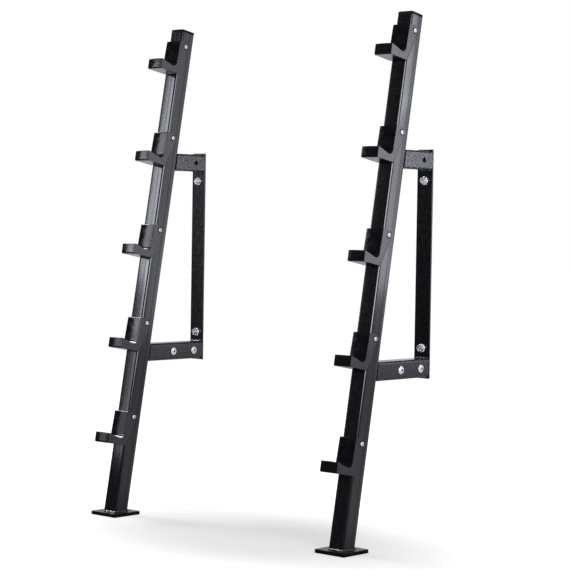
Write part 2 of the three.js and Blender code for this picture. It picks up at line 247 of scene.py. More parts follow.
plate_outline = rounded_square(plate_width, plate_width, plate_corner)
foot_plate = loft("foot_plate", [[(x, y, z) for x, y in plate_outline] for z in (0, plate_thickness)])
break_edges(foot_plate, plate_edge, steps=3)
foot_coat = grained_finish(
    "Black powder coat, scuffed",
    dark=coat_black,
    light=coat_light,
    smooth=0.24,
    rough=0.36,
    grain_size=3.0 * mm,
    mottle_size=12 * mm,
    relief=0.06 * mm,
    shine=0.12,
)
foot_plate.materials.append(foot_coat)
for side, place in upright_places.items():
    fit_piece(side + "_foot_plate", foot_plate, place, "powder_coat", side + "_base_plate")


# Upright tubes: 60 x 60 x 3 mm square steel tube with rolled corners, leaning back 10 degrees.
# The foot is sawn level to stand on the base plate, and five cross holes take the hook bolts.
lean = math.radians(10)
weld_gap = 0.3 * mm
tube_width = 60 * mm
tube_wall = 3 * mm
tube_corner = 7.5 * mm
tube_crown = 0.35 * mm
crown_pieces = 6
flats_from = 0.4
track_offset = 7.5 * mm
track_width = 6 * mm
track_wear = 0.6
streak_size = 6 * mm
streak_stretch = 0.02
streak_detail = 3.0
streak_roughness = 0.7
streak_dulling = 0.08
top_coat_roughness = 0.13
shade_band_depth = 4.5 * mm
tube_length = 1680 * mm
saw_edge = 0.4 * mm
hook_count = 5
lowest_hook = 325 * mm
hook_step = 325 * mm
bolt_depth = -9 * mm
bolt_hole_radius = 4.3 * mm
lean_places = {
    side: place @ Matrix.Translation((0, 0, plate_thickness)) @ Matrix.Rotation(-lean, 4, "X")
    for side, place in upright_places.items()
}


def cut(mesh, cutters, operation="DIFFERENCE"):
    """A mesh with each cutter taken out of it, joined to it, or kept only where the two overlap."""
    blank = bpy.data.objects.new("blank", mesh)
    bpy.context.scene.collection.objects.link(blank)
    tools = []
    for cutter in cutters:
        tool = bpy.data.objects.new("cutter", cutter)
        bpy.context.scene.collection.objects.link(tool)
        pass_over = blank.modifiers.new("Cut", "BOOLEAN")
        pass_over.operation = operation
        pass_over.solver = "EXACT"
        pass_over.object = tool
        tools.append(tool)
    bpy.context.view_layer.update()
    finished = blank.evaluated_get(bpy.context.evaluated_depsgraph_get())
    result = bpy.data.meshes.new_from_object(finished)
    for used in (blank, *tools):
        bpy.data.objects.remove(used)
    return result


def bar_along_x(radius, start, end, y, z, sides=32):
    """A round bar, or with six sides a hexagonal one, that lies along X."""
    angles = [2 * math.pi * i / sides for i in range(sides)]
    circle = [(y + radius * math.cos(a), z + radius * math.sin(a)) for a in angles]
    return loft("bar", [[(x, across, up) for across, up in circle] for x in (start, end)])


def crowned(outline, width, crown):
    """A square outline whose long flats, as rolled, stand a little higher in the middle than at the ends."""
    points = []
    for here, there in zip(outline, outline[1:] + outline[:1]):
        start, end = Vector(here), Vector(there)
        pieces = crown_pieces if (end - start).length > width / 2 else 1
        points += [start.lerp(end, i / pieces) for i in range(pieces)]
    for point in points:
        for axis in (0, 1):
            across = min(1, abs(point[1 - axis]) / (width / 2))
            if abs(point[axis]) > flats_from * width:
                point[axis] -= math.copysign(crown * across**2, point[axis])
    return points


outer = crowned(rounded_square(tube_width, tube_width, tube_corner), tube_width, tube_crown)
bore_width = tube_width - 2 * tube_wall
inner = crowned(rounded_square(bore_width, bore_width, tube_corner - tube_wall), bore_width, 0)


def level_cut(depth):
    """How far up the leaning tube its level foot lies, at a depth from the axis."""
    return (weld_gap + depth * math.sin(lean)) / math.cos(lean)


tube_blank = loft(
    "leaning_tube",
    [
        [(x, y, level_cut(y)) for x, y in outer],
        [(x, y, tube_length) for x, y in outer],
        [(x, y, tube_length) for x, y in inner],
        [(x, y, level_cut(y)) for x, y in inner],
    ],
    closed=True,
)
hook_heights = [lowest_hook + i * hook_step for i in range(hook_count)]
leaning_tube = cut(
    tube_blank,
    [bar_along_x(bolt_hole_radius, -tube_width, tube_width, bolt_depth, z) for z in hook_heights],
)


def rolled_track_group():
    """What the forming rolls leave on square tube: a dull track beside each face's middle,
    and fine streaks along it. Sizes are in metres."""
    sizes = ("Track offset", "Track width", "Streak size")
    group, start, end = number_group("Rolled tracks", sizes, ("Track", "Streak"))
    surface = group.nodes.new("ShaderNodeTexCoord")
    faces = {0: surface.outputs["Normal"], 1: surface.outputs["Object"]}
    round_tube = add_node(group, "ShaderNodeVectorMath", faces, operation="CROSS_PRODUCT")
    across = add_node(group, "ShaderNodeSeparateXYZ", {0: round_tube.outputs["Vector"]})
    from_track = worked_out(group, "SUBTRACT", across.outputs["Z"], start.outputs["Track offset"])
    distance = worked_out(group, "ABSOLUTE", from_track)
    track = ranged(group, distance, 0.0, start.outputs["Track width"], 1.0, 0.0, "SMOOTHSTEP")
    stretch = {"Vector": surface.outputs["Object"], "Scale": (1, 1, streak_stretch)}
    drawn_out = add_node(group, "ShaderNodeMapping", stretch).outputs["Vector"]
    streaks = cloud(group, drawn_out, start.outputs["Streak size"], streak_detail, streak_roughness)
    feed(group, end, {"Track": track, "Streak": streaks})
    return group


tube_coat = grained_finish(
    "Black powder coat on rolled tube",
    dark=coat_black,
    light=coat_light,
    smooth=0.10,
    rough=0.16,
    grain_size=3.2 * mm,
    mottle_size=14 * mm,
    relief=0.11 * mm,
    shine=0.35,
    flecks=0.05,
)
tube_tree = tube_coat.node_tree
tube_shader = tube_tree.nodes["Principled BSDF"]
coat_gloss = tube_shader.inputs["Roughness"].links[0].from_socket
track_sizes = {"Track offset": track_offset, "Track width": track_width, "Streak size": streak_size}
tracks = add_node(tube_tree, "ShaderNodeGroup", track_sizes, node_tree=rolled_track_group())
duller = worked_out(tube_tree, "MULTIPLY_ADD", tracks.outputs["Streak"], streak_dulling, coat_gloss)
worn = ranged(tube_tree, tracks.outputs["Track"], 0.0, 1.0, 1.0, 1 - track_wear)
# Painted shade: close under the cap the tube's end is made dull and bare of top coat, so it reads as the
# dark shadow line under the cap.
on_tube = tube_tree.nodes.new("ShaderNodeTexCoord").outputs["Object"]
up_tube = add_node(tube_tree, "ShaderNodeSeparateXYZ", {0: on_tube}).outputs["Z"]
above_shade_band = tube_length - shade_band_depth
painted_shade_band = ranged(tube_tree, up_tube, above_shade_band, above_shade_band + saw_edge)
tube_looks = {
    "Roughness": worked_out(tube_tree, "MAXIMUM", duller, painted_shade_band),
    "Coat Weight": worked_out(tube_tree, "SUBTRACT", worn, painted_shade_band, clamp=True),
    "Coat Roughness": top_coat_roughness,
}
feed(tube_tree, tube_shader, tube_looks)
leaning_tube.materials.append(tube_coat)
for side, place in lean_places.items():
    fit_piece(side + "_leaning_tube", leaning_tube, place, "powder_coat", side + "_upright_tube")


# Foot welds: a fillet bead run by hand round the foot of each tube, coated with the frame.
# It is laid in short overlapping steps, so it ripples and swells a little at the corners.
foot_bead_size = 4.6 * mm
ripple_length = 10 * mm
ripple_stations = 5
ripple_valley = 0.72
ripple_rise = 0.34
swell_rise = 0.12
swell_rates = (0.61, 1.37)
run_in_size = 0.35
run_in_stations = 4
bead_sink = 0.6 * mm
bead_points = 6
bead_hollow = 0.14
weld_coat = grained_finish(
    "Powder coat over weld",
    dark=(0.006, 0.006, 0.0065),
    light=(0.020, 0.020, 0.021),
    smooth=0.12,
    rough=0.24,
    grain_size=4.0 * mm,
    mottle_size=6 * mm,
    relief=1.2 * mm,
    shine=1.0,
    flecks=0.9,
)


def weld_bead(name, stations, size, closed):
    """A rippled fillet bead. Each station is a point in the corner, with the directions of its two legs."""
    rings = []
    travelled = 0
    for i, (point, along_plate, along_tube) in enumerate(stations):
        if i:
            travelled += (point - stations[i - 1][0]).length
        ripples = travelled / ripple_length
        ripple = abs(math.sin(math.pi * travelled / ripple_length))
        swell = math.sin(ripples * swell_rates[0]) * math.sin(ripples * swell_rates[1])
        reach = size * (ripple_valley + ripple_rise * ripple + swell_rise * swell)
        if not closed:
            from_end = min(i, len(stations) - 1 - i)
            reach *= min(1, run_in_size + (1 - run_in_size) * from_end / run_in_stations)
        ring = [point - (along_plate + along_tube) * bead_sink]
        for step in range(bead_points + 1):
            angle = step / bead_points * math.pi / 2
            legs = along_plate * math.cos(angle) + along_tube * math.sin(angle)
            ring.append(point + legs * reach * (1 - bead_hollow + bead_hollow * abs(math.cos(2 * angle))))
        rings.append(ring)
    bead = loft(name, rings, closed)
    bead.materials.append(weld_coat)
    return bead


def resampled(outline, step):
    """An outline with a point every step along its straight runs."""
    points = []
    for here, there in zip(outline, outline[1:] + outline[:1]):
        run = (Vector(there) - Vector(here)).length
        count = max(1, round(run / step))
        points += [Vector(here).lerp(Vector(there), i / count) for i in range(count)]
    return points


foot_ring = [(x, y / math.cos(lean)) for x, y in outer]
foot_outline = resampled(foot_ring, ripple_length / ripple_stations)
tube_axis = Vector((0, math.sin(lean), math.cos(lean)))
foot_stations = []
for i, point in enumerate(foot_outline):
    run = foot_outline[(i + 1) % len(foot_outline)] - foot_outline[i - 1]
    outward = Vector((run.y, -run.x, 0)).normalized()
    foot_stations.append((Vector((point.x, point.y, plate_thickness)), outward, tube_axis))
foot_bead = weld_bead("foot_bead", foot_stations, foot_bead_size, closed=True)
for side, place in upright_places.items():
    fit_piece(side + "_foot_weld", foot_bead, place, "powder_coat")


# End caps: moulded plastic, pressed into the top of each tube by a hollow square plug.
# The flange is as wide as the tube and rounded on top; the thin shadow line under it is painted shade on the
# tube's end.
cap_flange = 4 * mm
cap_edge = 1.4 * mm
cap_gap = 0.3 * mm
plug_depth = 22 * mm
plug_wall = 2.5 * mm
cap_plastic = grained_finish(
    "Cap plastic",
    dark=(0.002, 0.002, 0.002),
    light=(0.006, 0.006, 0.006),
    smooth=0.30,
    rough=0.42,
    grain_size=1.2 * mm,
    mottle_size=20 * mm,
    relief=0.08 * mm,
    shine=0.02,
)
plug_width = tube_width - 2 * (tube_wall + cap_gap)
plug_corner = tube_corner - tube_wall
plug_bore = plug_width - 2 * plug_wall
plug_outer = crowned(rounded_square(plug_width, plug_width, plug_corner), plug_width, 0)
plug_inner = crowned(rounded_square(plug_bore, plug_bore, plug_corner - plug_wall / 2), plug_bore, 0)
top_cap = loft(
    "top_cap",
    [
        [(x, y, cap_flange) for x, y in outer],
        [(x, y, 0) for x, y in outer],
        [(x, y, 0) for x, y in plug_outer],
        [(x, y, -plug_depth) for x, y in plug_outer],
        [(x, y, -plug_depth) for x, y in plug_inner],
        [(x, y, 0) for x, y in plug_inner],
    ],
)
break_edges(top_cap, cap_edge, steps=3, sharper_than=math.radians(80))
top_cap.materials.append(cap_plastic)
for side, place in lean_places.items():
    cap_place = place @ Matrix.Translation((0, 0, tube_length + cap_gap))
    fit_piece(side + "_top_cap", top_cap, cap_place, "cap_plastic", side + "_end_cap")


# J hooks: one black moulding each, with a leg, a ramp, a trough for the bar and a lip in front of the tube,
# and two cheeks that straddle it. The faces that a bar slides over are polished, the cheeks fine-grained.
cheek = 3.4 * mm
hook_width = tube_width + 2 * (cheek + weld_gap)
boss_radius = 16 * mm
hook_drop = 100 * mm
leg_top = 8.5 * mm
leg_foot = 12 * mm
lip_reach = 82 * mm
lip_height = 36 * mm
ramp_angle = math.radians(14)
trough_radius = 15 * mm
heel_overlap = 3 * mm
mould_corner = 4 * mm
lip_front_corner = 2.5 * mm
lip_foot_corner = 6 * mm
mould_edge = 0.8 * mm
edge_steps = 4
mould_crown = 1.5 * mm
crown_strips = 4
rear_edge = 4.2 * mm
rear_depth = 1.7 * mm
smallest_bend = 0.2 * mm
arc_step = math.radians(9)
fewest_arc_steps = 3
ring_seat = 7.6 * mm
ring_width = 3.0 * mm
ring_depth = 2.4 * mm
cheek_facing = 0.95
lifted_underside_facing = -0.7
tube_front = -tube_width / 2


def turned(name, profile, sides=40, closed=False):
    """A piece turned about X from (radius, length) points."""
    rings = []
    for radius, x in profile:
        angles = [2 * math.pi * i / sides for i in range(sides)]
        rings.append([(x, radius * math.cos(a), radius * math.sin(a)) for a in angles])
    return loft(name, rings, closed)


def drawn_in(corners, insets):
    """Corners (depth, height, radius) of a clockwise outline, each edge moved in by its own distance."""
    moved = []
    for i, (x, y, radius) in enumerate(corners):
        here = Vector((x, y))
        before = (here - Vector(corners[i - 1][:2])).normalized()
        after = (Vector(corners[(i + 1) % len(corners)][:2]) - here).normalized()
        turn = before.x * after.y - before.y * after.x
        shift = (before * insets[i] - after * insets[i - 1]) / turn
        inset = (insets[i - 1] + insets[i]) / 2
        bend = radius - inset if turn < 0 else radius + inset
        moved.append((x + shift.x, y + shift.y, max(smallest_bend, bend)))
    return moved


def filleted(corners):
    """An outline with round corners, from (depth, height, radius) points."""
    points = []
    for i, (x, y, radius) in enumerate(corners):
        here = Vector((x, y))
        to_before = (Vector(corners[i - 1][:2]) - here).normalized()
        to_after = (Vector(corners[(i + 1) % len(corners)][:2]) - here).normalized()
        half = to_before.angle(to_after) / 2
        centre = here + (to_before + to_after).normalized() * radius / math.sin(half)
        start = here + to_before * radius / math.tan(half) - centre
        end = here + to_after * radius / math.tan(half) - centre
        sweep = math.atan2(start.x * end.y - start.y * end.x, start.dot(end))
        steps = max(fewest_arc_steps, round(abs(sweep) / arc_step))
        for step in range(steps + 1):
            points.append(centre + Matrix.Rotation(sweep * step / steps, 2) @ start)
    return points


def hook_corners():
    """The hook from the side: its corners as (depth, height, radius), from its bolt hole's height."""
    back = tube_front - weld_gap
    lip_front = tube_front - lip_reach
    lip_top = lip_height - hook_drop
    heel = tube_front + heel_overlap
    to_bolt = math.atan2(bolt_depth - heel, hook_drop)
    spread = math.asin(boss_radius / math.hypot(bolt_depth - heel, hook_drop))
    rear_top = heel + (hook_drop + boss_radius) * math.tan(to_bolt + spread)
    leg_slope = (leg_foot - leg_top) / (boss_radius - lip_top)
    fall = math.tan(ramp_angle)
    trough_x = (back - leg_foot + lip_front * fall * leg_slope) / (1 + fall * leg_slope)
    trough_y = lip_top - (trough_x - lip_front) * fall
    return [
        (back - leg_top, boss_radius, mould_corner),
        (rear_top, boss_radius, boss_radius),
        (heel, -hook_drop, mould_corner),
        (lip_front, -hook_drop, lip_foot_corner),
        (lip_front, lip_top, lip_front_corner),
        (trough_x, trough_y, trough_radius),
    ]


half_width = hook_width / 2
flat_half = half_width - rear_depth
stations = [(strip / crown_strips * flat_half, 0) for strip in range(crown_strips + 1)]
for step in range(edge_steps + 1):
    angle = step / edge_steps * math.pi / 2
    stations.append((half_width - mould_edge + mould_edge * math.sin(angle), 1 - math.cos(angle)))
stations = [(-x, rounding) for x, rounding in reversed(stations[1:])] + stations
hook_rings = []
for x, rounding in stations:
    # The edges in turn: top, rear, underside, front of the lip, ramp and front of the leg.
    crowning = mould_crown * (x / half_width) ** 2
    crowns = (0, 0, 0, crowning, crowning / 3, crowning)
    insets = [crown + rounding * mould_edge for crown in crowns]
    insets[1] = max(0, abs(x) - half_width + rear_depth) / rear_depth * rear_edge
    hook_rings.append([(x, depth, height) for depth, height in filleted(drawn_in(hook_corners(), insets))])
hook_blank = loft("j_hook", hook_rings)
channel_half = tube_width / 2 + weld_gap
channel_outline = [
    (-channel_half, tube_front - weld_gap),
    (channel_half, tube_front - weld_gap),
    (channel_half, tube_width),
    (-channel_half, tube_width),
]
channel = loft("channel", [[(x, y, z) for x, y in channel_outline] for z in (-2 * hook_drop, hook_drop)])
bolt_bore = bar_along_x(bolt_hole_radius, -hook_width, hook_width, bolt_depth, 0)
ring_section = [
    (ring_seat, -ring_depth),
    (ring_seat, ring_depth),
    (ring_seat + ring_width, ring_depth),
    (ring_seat + ring_width, -ring_depth),
]
seat_rings = []
for face in (-1, 1):
    seat_ring = turned("seat_ring", [(r, face * (half_width + x)) for r, x in ring_section], closed=True)
    seat_ring.transform(Matrix.Translation((0, bolt_depth, 0)))
    seat_rings.append(seat_ring)
j_hook = cut(hook_blank, [channel, bolt_bore, *seat_rings])

hook_polish = grained_finish(
    "Hook plastic, polished faces",
    dark=(0.004, 0.004, 0.005),
    light=(0.009, 0.009, 0.010),
    smooth=0.09,
    rough=0.18,
    grain_size=24 * mm,
    mottle_size=30 * mm,
    relief=0.35 * mm,
    shine=0.38,
)
hook_grain = grained_finish(
    "Hook plastic, grained cheeks",
    dark=(0.005, 0.005, 0.0055),
    light=(0.016, 0.016, 0.017),
    smooth=0.22,
    rough=0.34,
    grain_size=3.0 * mm,
    mottle_size=9 * mm,
    relief=0.10 * mm,
    shine=1.0,
    flecks=0.06,
)
j_hook.materials.append(hook_polish)
j_hook.materials.append(hook_grain)
# Faces that look down take the grained plastic too; its lighter tone there is painted light that brightens
# the undersides.
for polygon in j_hook.polygons:
    on_cheek = abs(polygon.normal.x) > cheek_facing and abs(polygon.center.x) > half_width - mould_edge
    polygon.material_index = 1 if on_cheek or polygon.normal.z < lifted_underside_facing else 0
hook_places = {
    f"{side}_{{}}_{i + 1}": place @ Matrix.Translation((0, 0, height))
    for side, place in lean_places.items()
    for i, height in enumerate(hook_heights)
}
for name, place in hook_places.items():
    fit_piece(name.format("j_hook"), j_hook, place, "hook_plastic", name.format("hook"))


# Hook bolts and nuts: M8 button-head socket screws with lock nuts on the far cheek, bright zinc.
# Heads and nuts are turned bar, the sockets pressed in by a hexagonal punch.
hook_bolt_radius = 4 * mm
hook_head_radius = 7 * mm
hook_head_height = 4.4 * mm
hook_socket_flats = 5 * mm
hook_socket_depth = 2.6 * mm
socket_rim = 0.8 * mm
head_steps = 8
collar_foot_edge = 0.3
collar_top_edge = 0.4
nut_flats = 13 * mm
nut_height = 6.5 * mm
nut_bore = 4.15 * mm
nut_collar_radius = 5.6 * mm
nut_collar_height = 1.6 * mm
nut_collar_foot = 0.5 * mm
nut_collar_edge = 0.6 * mm
hex_turned_share = 0.97
hex_turned_angle = math.radians(30)
hex_foot_share = 0.2
bolt_end = 1.5 * mm
bolt_end_edge = 0.7 * mm
zinc_cloud_size = 5 * mm
zinc_range = (0.3, 0.6)
cloudy_zinc = (0.86, 0.87, 0.89)
clear_zinc = (0.98, 0.98, 0.99)


def zinc_finish(name, smooth, rough, grain_size, relief, haze):
    """Bright zinc plate over steel under a thin white haze, a little cloudy."""
    material, tree, shader, grain = grained_surface(name, grain_size, zinc_cloud_size, relief)
    looks = {
        "Base Color": tinted(tree, grain.outputs["Mottle"], zinc_range, (cloudy_zinc, clear_zinc)),
        "Roughness": ranged(tree, grain.outputs["Grain"], 0.0, 1.0, smooth, rough),
        "Metallic": 1 - haze,
    }
    feed(tree, shader, looks)
    return material


bright_zinc = zinc_finish(
    "Bright zinc",
    smooth=0.18,
    rough=0.42,
    grain_size=0.8 * mm,
    relief=0.02 * mm,
    haze=0.8,
)
# The socket's dark steel is partly the bare steel that the plating misses and partly painted shade in the
# recess.
socket_unplated_and_shaded = grained_finish(
    "Socket, unplated, with painted shade",
    dark=(0.010, 0.010, 0.011),
    light=(0.030, 0.030, 0.032),
    smooth=0.40,
    rough=0.60,
    grain_size=1.0 * mm,
    mottle_size=4 * mm,
    relief=0.02 * mm,
)


def socket_screw(name, shank, length, head, height, flats, depth, collar=0.0, collar_height=0.0):
    """A socket screw along X: its head stands on x = 0 and its shank runs to -X."""
    socket_corner = flats / math.sqrt(3)
    crown = socket_corner + socket_rim
    profile = [(shank - bolt_end_edge, -length), (shank, -length + bolt_end_edge), (shank, 0)]
    if collar:
        profile.append((collar - collar_foot_edge * collar_height, 0))
        profile.append((collar, collar_foot_edge * collar_height))
        profile.append((collar, (1 - collar_foot_edge) * collar_height))
        profile.append((collar - collar_top_edge * collar_height, collar_height))
    profile.append((head, collar_height))
    for step in range(1, head_steps + 1):
        angle = step / head_steps * math.pi / 2
        rise = collar_height + (height - collar_height) * math.sin(angle)
        profile.append((crown + (head - crown) * math.cos(angle), rise))
    punch = bar_along_x(socket_corner, height - depth, 2 * height, 0, 0, sides=6)
    screw = cut(turned(name, profile), [punch])
    screw.materials.append(bright_zinc)
    screw.materials.append(socket_unplated_and_shaded)
    for polygon in screw.polygons:
        x, y, z = polygon.center
        in_socket = math.hypot(y, z) < socket_corner and height - depth - saw_edge < x < height - saw_edge
        polygon.material_index = 1 if in_socket else 0
    return screw


def hex_piece(flats, height, chamfer_both):
    """A hexagon on x = 0 with its corners turned away at the top, or at both ends."""
    reach = flats / math.sqrt(3)
    bevel = reach - flats / 2 * hex_turned_share
    rise = bevel * math.tan(hex_turned_angle)
    if chamfer_both:
        profile = [(reach - bevel, 0), (reach, rise)]
    else:
        profile = [(reach, 0), (reach, hex_foot_share * rise)]
    profile += [(reach, height - rise), (reach - bevel, height)]
    return cut(bar_along_x(reach, 0, height, 0, 0, sides=6), [turned("lathe", profile)], "INTERSECT")


hook_screw = socket_screw(
    "hook_screw",
    shank=hook_bolt_radius,
    length=hook_width + 2 * weld_gap + nut_height + nut_collar_height + bolt_end,
    head=hook_head_radius,
    height=hook_head_height,
    flats=hook_socket_flats,
    depth=hook_socket_depth,
)
nut_profile = [
    (nut_bore, 0.5 * nut_height),
    (nut_collar_radius + nut_collar_foot, 0.5 * nut_height),
    (nut_collar_radius + nut_collar_foot, nut_height),
    (nut_collar_radius, nut_height + 0.5 * nut_collar_height),
    (nut_collar_radius - nut_collar_edge, nut_height + nut_collar_height),
    (nut_bore, nut_height + nut_collar_height),
]
nut_body = hex_piece(nut_flats, nut_height, chamfer_both=True)
nut_body = cut(nut_body, [turned("collar", nut_profile, closed=True)], "UNION")
lock_nut = cut(nut_body, [bar_along_x(nut_bore, -nut_height, 2 * nut_height, 0, 0, sides=40)])
lock_nut.materials.append(bright_zinc)
for name, place in hook_places.items():
    head_place = place @ Matrix.Translation((hook_width / 2 + weld_gap, bolt_depth, 0))
    fit_piece(name.format("hook_screw"), hook_screw, head_place, "zinc_plate", name.format("hook_bolt"))
    nut_place = place @ Matrix.Translation((-hook_width / 2 - weld_gap, bolt_depth, 0))
    nut_place = nut_place @ Matrix.Rotation(math.pi, 4, "Z")
    fit_piece(name.format("lock_nut"), lock_nut, nut_place, "zinc_plate", name.format("hook_nut"))


# Inserts: smaller square tube, welded to the back of each upright, that the arms slide over.
# Only what the open hole of the upper arm shows can be seen, so the CAD solids stay and get the coat.
for side in upright_places:
    for level in ("lower", "upper"):
        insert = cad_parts[f"{side}_{level}_arm_insert"]
        insert.data.materials.clear()
        insert.data.materials.append(powder_coat)


# Arms: 60 x 60 x 3 mm sleeves that slide over the inserts, each mitred to the lean of its upright.
# The lower arm has a hole for each of its bolts, and the upper arm one that stays open.
wall_reach = 380 * mm
arm_heights = {"lower": 551 * mm, "upper": 1212 * mm}
rear_hole = wall_reach - 42 * mm
front_hole = rear_hole - 100 * mm
arm_holes = {"lower": (front_hole, rear_hole), "upper": (rear_hole,)}
arm_hole_radii = {"lower": 7.3 * mm, "upper": 9 * mm}
arm_end = wall_reach - weld_gap


def mitre(height):
    """Where the back of the leaning tube stands at a height above the floor."""
    return (height - plate_thickness) * math.tan(lean) + (tube_width / 2 + weld_gap) / math.cos(lean)


# Painted light: the upper arms' coat gets far more metal flecks than the lower arms', so one coat comes as a
# lit copy up high and a shaded copy low down.
arm_flecks_lit_and_shaded = {"lower": 0.12, "upper": 0.78}
arm_coats_lit_and_shaded = {
    level: grained_finish(
        f"Black powder coat, textured, {level} arm",
        dark=(0.003, 0.003, 0.0035),
        light=(0.012, 0.012, 0.013),
        smooth=0.24,
        rough=0.32,
        grain_size=4.4 * mm,
        mottle_size=6 * mm,
        relief=0.5 * mm,
        shine=0.8,
        flecks=flecks,
    )
    for level, flecks in arm_flecks_lit_and_shaded.items()
}
for level, height in arm_heights.items():
    arm_blank = loft(
        level + "_sleeve",
        [
            [(x, mitre(height + z), height + z) for x, z in outer],
            [(x, arm_end, height + z) for x, z in outer],
            [(x, arm_end, height + z) for x, z in inner],
            [(x, mitre(height + z), height + z) for x, z in inner],
        ],
        closed=True,
    )
    drills = [bar_along_x(arm_hole_radii[level], 0, tube_width, y, height) for y in arm_holes[level]]
    sleeve = cut(arm_blank, drills)
    break_edges(sleeve, saw_edge, sharper_than=math.radians(60))
    sleeve.materials.append(arm_coats_lit_and_shaded[level])
    for side, place in upright_places.items():
        fit_piece(f"{side}_{level}_sleeve", sleeve, place, "powder_coat", f"{side}_{level}_arm")


# Wall plates: 60 x 6 mm flat steel across the back ends of both arms, flat against the wall.
# Each is drilled for two wall bolts, one hole below the upper arm and one above the lower arm.
strip_width = 60 * mm
strip_thickness = 6 * mm
strip_corner = 2 * mm
strip_overhang = 5 * mm
strip_edge = 0.8 * mm
wall_hole_radius = 8 * mm
wall_bolt_heights = {"upper": 1148 * mm, "lower": 613 * mm}
strip_top = arm_heights["upper"] + tube_width / 2 + strip_overhang
strip_foot = arm_heights["lower"] - tube_width / 2 - strip_overhang
strip_middle = (strip_top + strip_foot) / 2
strip_outline = rounded_square(strip_width, strip_top - strip_foot, strip_corner, steps=3)


def bar_along_y(radius, start, end, z, sides=32):
    """A round bar that lies along Y, above the middle of the base plate."""
    angles = [2 * math.pi * i / sides for i in range(sides)]
    circle = [(radius * math.cos(a), z + radius * math.sin(a)) for a in angles]
    return loft("bar", [[(across, y, up) for across, up in circle] for y in (start, end)])


strip_faces = (wall_reach, wall_reach + strip_thickness)
strip_blank = loft("wall_strip", [[(x, y, strip_middle + z) for x, z in strip_outline] for y in strip_faces])
wall_drills = [bar_along_y(wall_hole_radius, 0, 2 * wall_reach, z) for z in wall_bolt_heights.values()]
wall_strip = cut(strip_blank, wall_drills)
break_edges(wall_strip, strip_edge)
wall_strip.materials.append(powder_coat)
for side, place in upright_places.items():
    fit_piece(side + "_wall_strip", wall_strip, place, "powder_coat", side + "_wall_plate")


# Bracket welds: short beads where the arms meet the wall plate, inside the bracket and under its foot.
# The arms are as wide as the plate, so their sides are welded flush and ground, and so is the bracket's top.
arm_bead_sizes = {
    ("upper", "bottom"): 4.6 * mm,
    ("lower", "top"): 3.6 * mm,
    ("lower", "bottom"): 4.6 * mm,
}
bead_half_length = 25 * mm
bead_stations = 46
to_front = Vector((0, -1, 0))
for (level, end_name), bead_size in arm_bead_sizes.items():
    up = 1 if end_name == "top" else -1
    corner_z = arm_heights[level] + up * tube_width / 2
    stations = []
    for i in range(bead_stations):
        x = -bead_half_length + 2 * bead_half_length * i / (bead_stations - 1)
        stations.append((Vector((x, wall_reach, corner_z)), Vector((0, 0, up)), to_front))
    bead = weld_bead(f"{level}_{end_name}_bead", stations, bead_size, closed=False)
    for side, place in upright_places.items():
        fit_piece(f"{side}_{level}_{end_name}_weld", bead, place, "powder_coat")


# Arm bolts: M12 socket screws with a broad pressed collar, in the side of each lower arm, bright zinc.
# They run through the sleeve into weld nuts on the insert and clamp the two together.
arm_screw = socket_screw(
    "arm_screw",
    shank=6 * mm,
    length=20 * mm,
    head=10 * mm,
    height=5.4 * mm,
    flats=8 * mm,
    depth=3.6 * mm,
    collar=12.6 * mm,
    collar_height=1.6 * mm,
)
for side, place in upright_places.items():
    for end_name, y in (("front", front_hole), ("rear", rear_hole)):
        screw_place = place @ Matrix.Translation((tube_width / 2 + weld_gap, y, arm_heights["lower"]))
        name, node = f"{side}_arm_screw_{end_name}", f"{side}_arm_bolt_{end_name}"
        fit_piece(name, arm_screw, screw_place, "zinc_plate", node)


# Wall bolts and washers: M14 hexagon bolts, heads to the front, each on a flat washer, bright zinc.
# The shank runs back through the plate into the wall's anchor.
wall_bolt_radius = 7 * mm
wall_bolt_flats = 21 * mm
wall_head_height = 8.8 * mm
head_dish_radius = 6.6 * mm
head_dish_depth = 1.3 * mm
wall_bolt_behind = 26 * mm
washer_radius = 14 * mm
washer_bore = 7.6 * mm
washer_thickness = 2.5 * mm
washer_edge = 0.4 * mm
thread_pitch = 2 * mm
thread_depth = 0.9 * mm
wall_shank = 2 * weld_gap + washer_thickness + strip_thickness + wall_bolt_behind
shank_profile = [(wall_bolt_radius - bolt_end_edge - thread_depth, -wall_shank)]
thread_count = int(wall_bolt_behind / thread_pitch)
for turn in range(thread_count):
    x = -wall_shank + bolt_end_edge + turn * thread_pitch
    shank_profile += [(wall_bolt_radius - thread_depth, x), (wall_bolt_radius, x + thread_pitch / 2)]
shank_profile += [(wall_bolt_radius, -thread_pitch), (wall_bolt_radius, wall_head_height / 2)]
hex_head = hex_piece(wall_bolt_flats, wall_head_height, chamfer_both=False)
dish_profile = [
    (head_dish_radius - head_dish_depth, wall_head_height - head_dish_depth),
    (head_dish_radius + head_dish_depth, wall_head_height + head_dish_depth),
]
hex_head = cut(hex_head, [turned("dish", dish_profile)])
hex_screw = cut(hex_head, [turned("shank", shank_profile)], "UNION")
forged_zinc = zinc_finish(
    "Bright zinc, forged heads",
    smooth=0.04,
    rough=0.12,
    grain_size=5.0 * mm,
    relief=3.0 * mm,
    haze=0.2,
)
hex_screw.materials.append(forged_zinc)
washer = turned(
    "flat_washer",
    [
        (washer_bore, 0),
        (washer_radius - washer_edge, 0),
        (washer_radius, washer_edge),
        (washer_radius, washer_thickness - washer_edge),
        (washer_radius - washer_edge, washer_thickness),
        (washer_bore, washer_thickness),
    ],
    closed=True,
)
washer.materials.append(forged_zinc)
to_the_front = Matrix.Rotation(-math.pi / 2, 4, "Z")
head_y = wall_reach - washer_thickness - 2 * weld_gap
for side, place in upright_places.items():
    for level, z in wall_bolt_heights.items():
        washer_place = place @ Matrix.Translation((0, wall_reach - weld_gap, z)) @ to_the_front
        name, node = f"{side}_flat_washer_{level}", f"{side}_wall_washer_{level}"
        fit_piece(name, washer, washer_place, "zinc_plate", node)
        bolt_place = place @ Matrix.Translation((0, head_y, z)) @ to_the_front
        name, node = f"{side}_hex_screw_{level}", f"{side}_wall_bolt_{level}"
        fit_piece(name, hex_screw, bolt_place, "zinc_plate", node)
